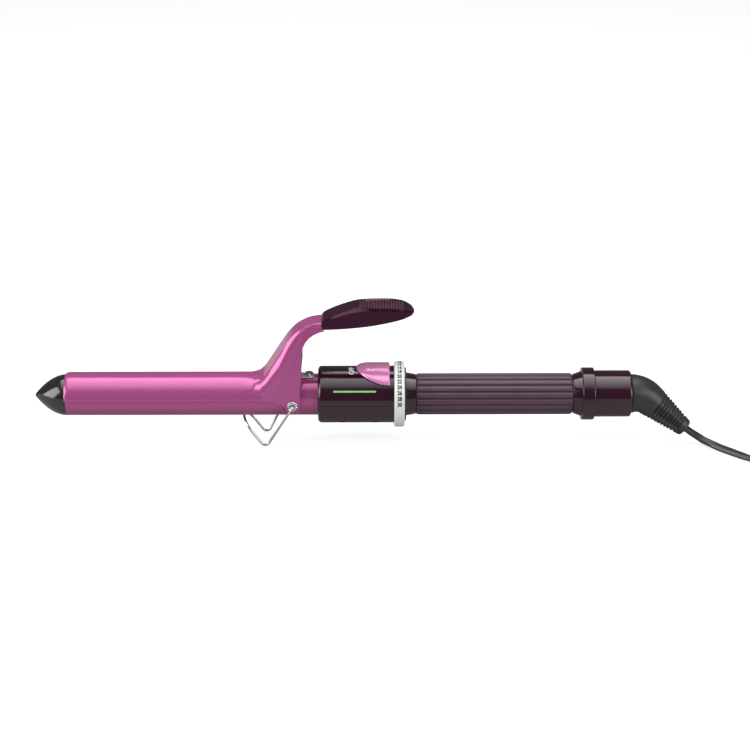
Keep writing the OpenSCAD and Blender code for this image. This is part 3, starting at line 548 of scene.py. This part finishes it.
# ---- end cap ----
# A glossy plum cap screws over the end of the handle tube: a cone, a collar and a plain cylinder,
# open at the end for the swivel.
x_cone, x_collar, x_cap, x_end, x_hollow, x_floor = 127.97, 133.22, 140.82, 163.42, 144.4, 161.22
cone_r, cone_end_r, collar_r, cap_r, mouth_r, hollow_r, tube_r = 12.0, 13.9, 16.1, 14.3, 6.1, 12.3, 10.3
cap = [(x_cone, tube_r), (x_cone, cone_r, 0.3), (x_collar, cone_end_r), (x_collar, collar_r, 0.7),
       (x_cap, collar_r, 0.7), (x_cap, cap_r), (x_end, cap_r, 1.5), (x_end, mouth_r),
       (x_floor, mouth_r), (x_floor, hollow_r), (x_hollow, hollow_r), (x_hollow, tube_r)]
piece(turned(rounded(cap)), "swivel_cap", plum_gloss, "handle", "shell_plum", "end_cap")

# ---- strain relief ----
# The black rubber boot turns in the end cap. It is moulded around the lead as a bent taper, with
# four rows of slots on its straight part that let it flex, and a plain collar at its tip.
boot_rubber = finish_of(
    "boot_rubber", ((0.020, 0.023, 0.020), (0.032, 0.034, 0.029)), (0.34, 0.46), relief=0.25, fine=1300)
boot_r, boot_tip_r, boot_stub, boot_bend, boot_run, boot_angle = 12.0, 5.4, 1.5, 16, 29, radians(39)
boot_turn, x_boot = radians(15), 163.52
boot_l = boot_stub + boot_bend * boot_angle + boot_run
slots, slot_pitch, slot_half, slot_depth, plain_tip = 9, 2.25, 0.75, 1.3, 5.2
boot_rows, boot_columns = 190, 96


def boot_line(s):
    """Point and slope of the boot's middle line at the distance s, as (ahead, down, slope)."""
    bend = min(max(s - boot_stub, 0) / boot_bend, boot_angle)
    past = max(0, s - boot_stub - boot_bend * boot_angle)
    ahead = min(s, boot_stub) + boot_bend * sin(bend) + past * cos(boot_angle)
    return ahead, boot_bend * (1 - cos(bend)) + past * sin(boot_angle), bend


def boot_place(row, column):
    """A point of the boot at s along its middle line, cut in by the slots of the four rows."""
    s, angle = boot_l * row / boot_rows, 2 * pi * column / boot_columns
    radius = boot_r + (boot_tip_r - boot_r) * (s / boot_l) ** 1.15
    if s < 0.7:
        radius -= 0.35 * (1 - s / 0.7)
    if boot_l - s < 0.8:
        radius -= 0.6 * (1 - (boot_l - s) / 0.8) ** 2
    nearest = round((boot_l - plain_tip - s) / slot_pitch)
    if 0 <= nearest < slots:
        off = abs(boot_l - plain_tip - s - nearest * slot_pitch) / slot_half
        row_turn = abs((degrees(angle) + 45) % 90 - 45)
        wall = min(1, max(0, (36 - row_turn) / 5))
        radius -= slot_depth * wall * max(0, 1 - off ** 4) ** 0.5 * (0.6 + 0.4 * radius / boot_r)
    ahead, down, slope = boot_line(s)
    across, up = radius * cos(angle), radius * sin(angle)
    y, z = across, up * cos(slope) - down
    return (x_boot + ahead + up * sin(slope), y * cos(boot_turn) + z * sin(boot_turn),
            axis_z - y * sin(boot_turn) + z * cos(boot_turn))


piece(skin(boot_place, boot_rows, boot_columns), "boot", boot_rubber, "swivel", "boot_rubber",
      "strain_relief")

# ---- clamp ----
# The clamp is pressed from one sheet: a trough over the barrel, a hollow hood that climbs to the
# lever, and two ears that turn on the eyelets. It is polished and plated pink with the barrel.
trough_r, wrap = 14.05, radians(83)
x_front = x_tip - 0.5
hood_x = [-24, -20.6, -19.2, -17.4, -12.5, -7.7, -2.8, 2.1, 7.0, 11.9, 16.7, 24]
hood_top = [14.05, 14.05, 14.15, 15.2, 22.7, 30.4, 38.0, 43.7, 47.2, 49.3, 50.2, 50.9]
crease_half = [9.3, 9.3, 9.3, 9.3, 9.0, 8.6, 8.1, 7.4, 6.9, 6.6, 6.3, 6.2]
shoulder = [9.0, 9.0, 9.6, 11.5, 18.0, 20.5, 18.0, 10.0, 4.2, 2.0, 1.2, 1.0]


def between(xs, values, x):
    """Smooth value at x of a table whose steps may differ."""
    i = max(1, min(len(xs) - 2, next((k for k, at in enumerate(xs) if at > x), len(xs)) - 1))
    if x < xs[1]:
        i = 0
    a, b = xs[i], xs[i + 1]
    t = min(1, max(0, (x - a) / (b - a)))

    def slope(k):
        low, high = max(0, k - 1), min(len(xs) - 1, k + 1)
        return (values[high] - values[low]) / (xs[high] - xs[low])

    h = b - a
    return ((2 * t ** 3 - 3 * t * t + 1) * values[i] + (t ** 3 - 2 * t * t + t) * h * slope(i)
            + (3 * t * t - 2 * t ** 3) * values[i + 1] + (t ** 3 - t * t) * h * slope(i + 1))


# Where each column of the sheet ends below: along the trough, round the ear, up the hood's open
# rear and along the lever's lower edge
ear_r, rear_x = 5.3, 5.9
lower_edge = [(-19.7, 1.71), (-14, 0.9), (-9.2, -0.2), (-6.2, -2.0)]
lower_edge += [(ear_r * cos(radians(t)), -1.5 + ear_r * sin(radians(t))) for t in range(195, 316, 15)]
lower_edge += [(4.4, -3.9), (4.5, -1.2), (4.5, 6), (5.2, 13), (rear_x, 20), (rear_x, 27),
               (6.1, 31.5), (6.9, 35.6), (8.4, 38.6), (10.6, 41.2), (13.4, 43.2), (16.5, 44.6),
               (19.5, 45.3)]
lower_top = [-19.7, -17.8, -16.2, -14.6] + [-13.4 + 1.25 * k for k in range(9)]
lower_top += [-2.2, -1.0, 0.2, 1.5, 2.9, 4.2, 5.6, 7.0, 8.5, 10.4, 12.8, 15.4, 19.5]
trough_rows, half_columns = 30, 24
clamp_rows = trough_rows + 2 * (len(lower_edge) - 1)


def wall_half(z):
    """Half width of the hood's side walls at a height above the axis."""
    return trough_r - 6.1 * max(0, min(1, (z - 11) / 36)) ** 1.15 - 0.7 * max(0, min(1, (z - 44) / 4))


def clamp_place(row, column):
    """A point of the sheet: it goes from the trough's round section to the hood's, as x goes back.
    Columns run out from the middle: a flat top, a rounded shoulder, then the wall."""
    side, step = (-1 if column < half_columns else 1), abs(column - half_columns)
    if row <= trough_rows:
        t = row / trough_rows
        x = x_front + (x_pivot - 19.7 - x_front) * t ** 1.4 - x_pivot
        low = (x, lower_edge[0][1])
    else:
        k = (row - trough_rows) / 2
        i = min(int(k), len(lower_edge) - 2)
        f = k - i
        x = lower_top[i] * (1 - f) + lower_top[i + 1] * f
        low = tuple(p * (1 - f) + q * f for p, q in zip(lower_edge[i], lower_edge[i + 1]))
    mix = min(1, max(0, (x + 22.5) / 4.5))
    mix = mix * mix * (3 - 2 * mix)
    flare = 0.55 * max(0, 1 - (x + x_pivot - x_front) / 2.5) ** 2
    half, top = between(hood_x, crease_half, x), between(hood_x, hood_top, x)
    fall = between(hood_x, shoulder, x)
    flat, round_off, upright = 8, 8, 8
    crease_turn, shoulder_turn = asin(9.3 / trough_r), radians(67)
    if step <= flat:
        turn = crease_turn * step / flat
        point = Vector((x, half * step / flat, top))
    elif step <= flat + round_off:
        t = (step - flat) / round_off
        turn = crease_turn + (shoulder_turn - crease_turn) * t
        foot = wall_half(top - fall)
        y = half * (1 - t) ** 2 + foot * 2 * t * (1 - t) + foot * t * t
        z = top * (1 - t) ** 2 + (top - 0.3 * fall) * 2 * t * (1 - t) + (top - fall) * t * t
        point = Vector((x, y, z))
    else:
        t = (step - flat - round_off) / upright
        turn = shoulder_turn + (wrap - shoulder_turn) * t
        z = (top - fall) * (1 - t) + low[1] * t
        point = Vector((x * (1 - t) + low[0] * t, 0, z))
        point.y = wall_half(z)
        if z > 0 and point.x < -10:     # the wall runs into the trough's round side
            point.y = min(point.y, max(sqrt(max(0, trough_r ** 2 - z * z)), point.y * mix))
    radius = trough_r - flare
    ring = Vector((x, radius * sin(turn), radius * cos(turn)))
    at = ring.lerp(point, mix)
    return (x_pivot + at.x, side * at.y, axis_z + at.z)


sheet = skin(clamp_place, clamp_rows, 2 * half_columns, closed=False)
middle = max((f for f in sheet.faces if f.calc_center_median().x < -100 * mm),
             key=lambda f: f.calc_center_median().z)
if middle.normal.z < 0:
    bmesh.ops.reverse_faces(sheet, faces=sheet.faces)
clamp = piece(sheet, "clamp_sheet", pink_plate, "clamp", "clamp_coat", "clamp", crease=24)
wall = clamp.modifiers.new("sheet", "SOLIDIFY")
wall.thickness, wall.offset, wall.use_quality_normals = 1.0 * mm, -1, True
trim = clamp.modifiers.new("trimmed_edges", "BEVEL")
trim.width, trim.segments, trim.limit_method, trim.angle_limit = 0.25 * mm, 2, "ANGLE", radians(60)

# ---- thumb pad ----
# The thumb pad is a solid plum moulding slipped over the lever's tongue and held by one screw from
# below. Its top is creased along both sides and has a ribbed dish for the thumb.
pad_x = [-25.28, -24.2, -20, -14.5, -9, -3.8, 1.4, 8.7, 16, 23.4, 27, 29.3, 30.5]
pad_top = [50.4, 51.9, 54.0, 56.5, 58.6, 60.2, 60.3, 60.2, 60.1, 59.3, 58.2, 56.9, 55.6]
pad_crease = [6.6, 7.0, 7.6, 7.3, 6.8, 6.3, 7.3, 8.3, 8.3, 7.4, 5.9, 4.1, 1.4]
pad_shoulder = [50.2, 51.6, 53.4, 55.4, 57.0, 58.1, 58.6, 58.9, 58.9, 58.2, 57.3, 56.2, 55.2]
pad_half = [7.4, 7.8, 8.5, 8.7, 8.7, 8.7, 8.7, 8.7, 8.7, 8.3, 7.0, 5.2, 2.0]
pad_under = [45.8, 45.75, 46.1, 46.45, 46.85, 47.35, 47.95, 49.15, 50.75, 52.65, 53.75, 54.4, 54.8]
pad_rows, dish = 110, (-3.6, 25.0)
dish_deep, dish_run, under_r, under_drop = 1.3, 4, 1.6, 1.2
rib_count, rib_pitch, rib_r, rib_reach = 16, 1.7, 0.6, 0.86


def dish_depth(x, share):
    """Depth of the dish under the pad's top, at a share of the way out to the crease."""
    ends = min(1, max(0, (x - dish[0]) / dish_run), max(0, (dish[1] - x) / dish_run))
    return dish_deep * (1 - share ** 2) * ends


def pad_place(row, column):
    """A point of the pad. Each half goes over the dished top, the shoulder, the side and under."""
    t = row / pad_rows
    x = pad_x[0] + (pad_x[-1] - pad_x[0]) * t
    top, crease, shoulder_z, half, under = (
        between(pad_x, table, x) for table in (pad_top, pad_crease, pad_shoulder, pad_half, pad_under))
    k = column % 48
    if k > 24:
        side, k = -1, 48 - k
    else:
        side = 1
    if k <= 14:
        share = k / 14
        y, z = crease * share, top - dish_depth(x, share)
    elif k <= 16:
        share = (k - 14) / 2
        y, z = crease + (half - crease) * share, top + (shoulder_z - top) * share
    elif k <= 20:
        share = (k - 16) / 4
        y, z = half, shoulder_z + (under + under_drop - shoulder_z) * share
    else:
        share = (k - 20) / 4
        turn = pi / 2 * min(1, 2 * share)
        y = half - under_r * (1 - cos(turn)) if share <= 0.5 else (half - under_r) * 2 * (1 - share)
        z = under + under_drop * (1 - sin(turn))
    return (x, side * max(0.0, y), axis_z + z)


pad_gloss = finish_of(
    "pad_gloss", ((0.020, 0.0022, 0.0105), (0.026, 0.0035, 0.014)), (0.10, 0.16), relief=0.03,
    Specular_IOR_Level=0.4, Specular_Tint=(1, 0.42, 0.72, 1), Coat_Weight=0.1, Coat_Roughness=0.06)
piece(skin(pad_place, pad_rows, 48), "pad", pad_gloss, "clamp", "pad_plum", "thumb_pad", crease=30)
coat(bright_steel, "pad_screw")

# The ribs are moulded with the pad, but their plum is made about three times lighter than the pad's:
# painted sheen on the ribs.
rib_plum_painted_sheen = finish_of(
    "rib_plum_painted_sheen", ((0.062, 0.022, 0.042), (0.078, 0.030, 0.053)), (0.28, 0.36), relief=0.1,
    Coat_Weight=0.3, Coat_Roughness=0.2)


def rib_bar(x_rib):
    """A half-round bar across the dish at x_rib."""
    def place(row, column):
        along = rib_reach * (2 * row / 24 - 1)
        r = rib_r * sqrt(max(0.02, 1 - (abs(along) / rib_reach) ** 8))
        turn = pi * column / 8
        z = between(pad_x, pad_top, x_rib) - dish_depth(x_rib, abs(along)) - 0.15
        return (x_rib - r * cos(turn), along * between(pad_x, pad_crease, x_rib),
                axis_z + z + r * sin(turn))

    bar = skin(place, 24, 8, closed=False)
    bmesh.ops.holes_fill(bar, edges=bar.edges)
    bmesh.ops.recalc_face_normals(bar, faces=bar.faces)
    return bar


bars = joined([rib_bar(dish[0] + 1.6 + rib_pitch * rib) for rib in range(rib_count)])
piece(bars, "pad_ribs", rib_plum_painted_sheen, "clamp", "pad_plum", crease=50)

# ---- wire rest ----
# The rest is one bent steel wire. Its ends turn in the eyelets, its legs stand on two rounded feet,
# and the bow between them swings under the barrel.
wire_r, foot_half, foot_bend, foot_ahead, rest_apex = 0.8, 10, 2.6, 17.2, 30.3
foot = Vector((-foot_ahead, wire_r + foot_bend))
bow_top = Vector((-rest_apex, axis_z - barrel_r - 0.3 - wire_r))


def touch(point, side):
    """Turn at which a line from the point touches the foot's bend."""
    reach = Vector(point) - foot
    return atan2(reach.y, reach.x) + side * acos(foot_bend / reach.length)


leg_turn, bow_turn = touch((0, z_pivot), -1), touch(bow_top, 1)
eyelet_y, bend_r = 15.5, 1.2
half_wire = [Vector((0, y, z_pivot)) for y in (11, 13, 15.2)]
for step in range(1, 6):
    turn = pi / 2 * step / 5
    half_wire.append(Vector((
        -0.58 * (1 - cos(turn)), eyelet_y + bend_r * sin(turn), z_pivot - 1.06 * (1 - cos(turn)))))
leg_foot = foot + foot_bend * Vector((cos(leg_turn), sin(leg_turn)))
for step in range(1, 6):
    t = step / 6
    half_wire.append(half_wire[7].lerp(Vector((leg_foot.x, foot_half, leg_foot.y)), t))
for step in range(11):
    turn = leg_turn + (bow_turn - 2 * pi - leg_turn) * step / 10
    half_wire.append(Vector((foot.x + foot_bend * cos(turn), foot_half, foot.y + foot_bend * sin(turn))))
bow_foot = foot + foot_bend * Vector((cos(bow_turn), sin(bow_turn)))
bow_l = (bow_top - bow_foot).length
for step in range(13):
    turn = pi / 2 * step / 12
    at = bow_foot.lerp(bow_top, (bow_l - foot_half + foot_half * sin(turn)) / bow_l)
    half_wire.append(Vector((at.x, foot_half * cos(turn), at.y)))
wire = half_wire + [Vector((p.x, -p.y, p.z)) for p in half_wire[-2::-1]]
wire = [p + Vector((x_pivot, 0, 0)) for p in wire]


def carried(path, outline, rolls=None, level=False):
    """Carries an outline along a path; rolls turns it at each point, and level keeps its top up."""
    frames, up = [], Vector((0, 0, 1))
    for i, here in enumerate(path):
        along = (path[min(i + 1, len(path) - 1)] - path[max(i - 1, 0)]).normalized()
        side = along.cross(Vector((0, 0, 1)) if level else up).normalized()
        up = side.cross(along)
        roll = rolls[i] if rolls else 0
        frames.append((here, side * cos(roll) + up * sin(roll), up * cos(roll) - side * sin(roll)))

    def put(row, column):
        here, side, up = frames[row]
        across, out = outline[column % len(outline)]
        return here + side * across + up * out

    return put


def circle(radius, sides):
    """The outline of a round wire."""
    return [(radius * cos(2 * pi * k / sides), radius * sin(2 * pi * k / sides)) for k in range(sides)]


piece(skin(carried(wire, circle(wire_r, 16)), len(wire) - 1, 16), "wire_stand", bright_steel, "rest",
      "bright_steel", "wire_rest")

# ---- lead ----
# The lead is a flat twin in black vinyl, 6 mm wide, moulded into the boot. It comes down to the
# table in an easy curve, and the rest of its length is folded into a tied hank behind the iron.
# Each point of its route is x, y and z, then how flat it lies: 1 is flat and 0 stands on edge.
lead_vinyl = finish_of(
    "lead_vinyl", ((0.020, 0.023, 0.021), (0.034, 0.037, 0.034)), (0.26, 0.36), relief=0.12,
    Coat_Weight=0.2, Coat_Roughness=0.2)
lead_exit = Vector((198.12, -5.65, 9.43))
inside = Vector((0.777, -0.163, -0.608))
route = [(*(lead_exit - inside * back), 1) for back in (9, 5, 1)]
route += [(202, -6.7, 6.8, 1), (206, -8.2, 4.7, 1), (209, -10, 3.3, 1), (213, -12.5, 2.3, 1),
          (216, -15, 1.8, 1), (219, -18, 1.65, 1), (225, -23.5, 1.65, 1), (231, -29, 1.65, 0.9),
          (238, -35, 1.8, 0.7), (245, -40.5, 2.1, 0.5), (253, -44.5, 2.7, 0.3), (262, -47, 3.5, 0.1),
          (270, -47.9, 4.0, 0)]
hank_x, hank_run, hank_y, layers = 278, 90, -20, (4.2, 10.3)
run_steps, end_steps = 6, 12
turns = [(27.9, 0), (24.6, 0), (21.3, 0), (18.0, 0), (18.0, 1), (21.3, 1), (24.6, 1)]
for k, (r, layer) in enumerate(turns):
    z = layers[layer]
    for step in range(run_steps + 1):
        route.append((hank_x + hank_run * step / run_steps, hank_y - r, z, 0))
    for step in range(1, end_steps):
        turn = radians(-90 + 180 * step / end_steps)
        route.append((hank_x + hank_run + r * cos(turn), hank_y + r * sin(turn), z, 0))
    if k == len(turns) - 1:
        break
    for step in range(run_steps + 1):
        route.append((hank_x + hank_run * (1 - step / run_steps), hank_y + r, z, 0))
    r_next, z_next = turns[k + 1][0], layers[turns[k + 1][1]]
    for step in range(1, end_steps):
        t = step / end_steps
        turn, ease = radians(90 + 180 * t), t * t * (3 - 2 * t)
        r_here = r + (r_next - r) * ease
        route.append((hank_x + r_here * cos(turn), hank_y + r_here * sin(turn), z + (z_next - z) * ease, 0))
route += [(366, 4.6, 10.3, 0), (358, 6.0, 10.2, 0), (350, 9.2, 9.8, 0), (343, 12.9, 9.0, 0.2),
          (336, 16.8, 8.0, 0.4), (329, 19.6, 7.0, 0.7), (323, 20.8, 6.3, 0.9), (314, 21, 6, 1)]


def smoothed(points, between_points=2):
    """Points of a curve that runs through the given ones."""
    points = [Vector(p) for p in points]
    result = []
    for i in range(len(points) - 1):
        a, b = points[max(0, i - 1)], points[i]
        c, d = points[i + 1], points[min(len(points) - 1, i + 2)]
        for step in range(between_points):
            t = step / between_points
            result.append(0.5 * (2 * b + (c - a) * t + (2 * a - 5 * b + 4 * c - d) * t * t
                                 + (3 * b - a - 3 * c + d) * t ** 3))
    return result + [points[-1]]


fine_route = smoothed(route)
lead_path = [p.to_3d() for p in fine_route]
lead_rolls = [radians(90) * (1 - p[3]) for p in fine_route]
lobe_r, lobe_off = 1.6, 1.4
twin = [(lobe_off + lobe_r * cos(radians(t)), lobe_r * sin(radians(t))) for t in range(-140, 141, 35)]
twin += [(-y, -z) for y, z in twin]
lead = piece(skin(carried(lead_path, twin, lead_rolls, level=True), len(lead_path) - 1, len(twin)),
             "lead", lead_vinyl, None, "lead_vinyl", "lead_tube", "lead_hank", "lead_tail", crease=60)
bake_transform(lead)

# ---- plug ----
# A moulded two-pin plug ends the lead, with a ribbed taper where the lead comes in and two brass
# blades, the neutral one wider.
plug_x = [272, 272.6, 274, 280, 287, 292, 297, 300, 304, 318]
plug_wide = [8.3, 8.9, 9.0, 8.8, 8.2, 7.0, 5.4, 4.8, 4.5, 3.7]
plug_tall = [5.3, 5.9, 6.0, 6.0, 5.8, 5.4, 4.8, 4.5, 4.3, 3.6]
plug_y, plug_z, plug_rows, plug_columns = 21, 6, 120, 40
blade_start, blade_l, blade_t, blade_chamfer, hole_x, hole_r = 256, 16.4, 1.5, 1.5, 261, 1.6
plug_vinyl = finish_of(
    "plug_vinyl", ((0.018, 0.020, 0.019), (0.028, 0.030, 0.028)), (0.36, 0.5), relief=0.3)


def plug_place(row, column):
    """A point of the plug, whose section goes from a rounded box to an oval as x grows."""
    x = plug_x[0] + (plug_x[-1] - plug_x[0]) * row / plug_rows
    wide, tall = between(plug_x, plug_wide, x), between(plug_x, plug_tall, x)
    if 301 < x < 315:
        cut = 0.35 * max(0, sin(2 * pi * (x - 301) / 2.8)) ** 0.5
        wide, tall = wide - cut, tall - cut
    power = 2 + 3 * max(0, min(1, (300 - x) / 20))
    turn = 2 * pi * column / plug_columns
    c, s = cos(turn), sin(turn)
    across = wide * (abs(c) ** (2 / power)) * (1 if c > 0 else -1)
    up = tall * (abs(s) ** (2 / power)) * (1 if s > 0 else -1)
    if 276 < x < 290 and abs(s) < 0.5:      # finger ridges on both sides
        across *= 1 - 0.03 * (1 + cos(2 * pi * (x - 276) / 2.0))
    return (x, plug_y + across, plug_z + up)


plug = piece(skin(plug_place, plug_rows, plug_columns), "plug", plug_vinyl, "handle", "lead_vinyl",
             "plug_body")


def blade(y, wide):
    """A flat blade with a round-cornered end and a hole, as two loops joined and thickened."""
    bm = bmesh.new()
    loops = []
    for hole in (True, False):
        ring = []
        for step in range(32):
            turn = 2 * pi * (step + 0.5) / 32
            if hole:
                p = (hole_x + hole_r * cos(turn), hole_r * sin(turn))
            else:
                c, s = cos(turn), sin(turn)
                reach = 1 / max(abs(c), abs(s))
                p = (blade_start + blade_l / 2 * (1 + max(-1, min(1, c * reach))),
                     wide / 2 * max(-1, min(1, s * reach)))
                if p[0] < blade_start + blade_chamfer:
                    p = (p[0], p[1] * (0.72 + 0.28 * (p[0] - blade_start) / blade_chamfer))
            ring.append(bm.verts.new((p[0] * mm, (y - blade_t / 2) * mm, (plug_z + p[1]) * mm)))
        loops += [bm.edges.new((ring[i - 1], ring[i])) for i in range(32)]
    bmesh.ops.bridge_loops(bm, edges=loops)
    grown = bmesh.ops.extrude_face_region(bm, geom=bm.faces[:])
    far_side = [v for v in grown["geom"] if isinstance(v, bmesh.types.BMVert)]
    bmesh.ops.translate(bm, vec=(0, blade_t * mm, 0), verts=far_side)
    bmesh.ops.recalc_face_normals(bm, faces=bm.faces)
    return bm


pin_half_pitch, narrow_blade, wide_blade = 6.35, 6.35, 7.9
blades = joined([blade(plug_y - pin_half_pitch, narrow_blade), blade(plug_y + pin_half_pitch, wide_blade)])
blade_piece = piece(blades, "blades", brass, "handle", "contact_brass", "plug_blades")

# ---- hank tie ----
# A flat woven strap goes once round the hank's two runs and holds them together, as it leaves the
# factory. The wires inside the handle have the same black vinyl as the lead.
tie_fabric = finish_of(
    "tie_fabric", ((0.012, 0.012, 0.013), (0.03, 0.03, 0.032)), (0.7, 0.85), relief=0.6, clouds=1500,
    fine=2400)
x_tie, x_tie_end, tie_t, tie_r = 316.2, 329.8, 0.7, 1.8
middle_y, middle_z, reach_y, reach_z = -20, 7.15, 28.6, 5.25
tie_loop = []
for side_y, side_z, start in ((1, 1, 0), (-1, 1, 90), (-1, -1, 180), (1, -1, 270)):
    for step in range(6):
        turn = radians(start + 90 * step / 5)
        tie_loop.append((middle_y + side_y * reach_y + tie_r * cos(turn),
                         middle_z + side_z * reach_z + tie_r * sin(turn)))


def tie_place(row, column):
    """A point of the strap: one of its four edges at that step of the loop."""
    y, z = tie_loop[row % len(tie_loop)]
    x, inset = ((x_tie, tie_t), (x_tie, 0), (x_tie_end, 0), (x_tie_end, tie_t))[column % 4]
    return (x, y + (inset if y < middle_y else -inset), z + (inset if z < middle_z else -inset))


tie = skin(tie_place, len(tie_loop), 4)
piece(tie, "hank_strap", tie_fabric, "handle", "tie_fabric", "hank_tie", crease=50)
black_vinyl = finish_of("black_vinyl", ((0.018, 0.021, 0.019), (0.030, 0.033, 0.030)), (0.3, 0.42))
coat(black_vinyl, "supply_wires")
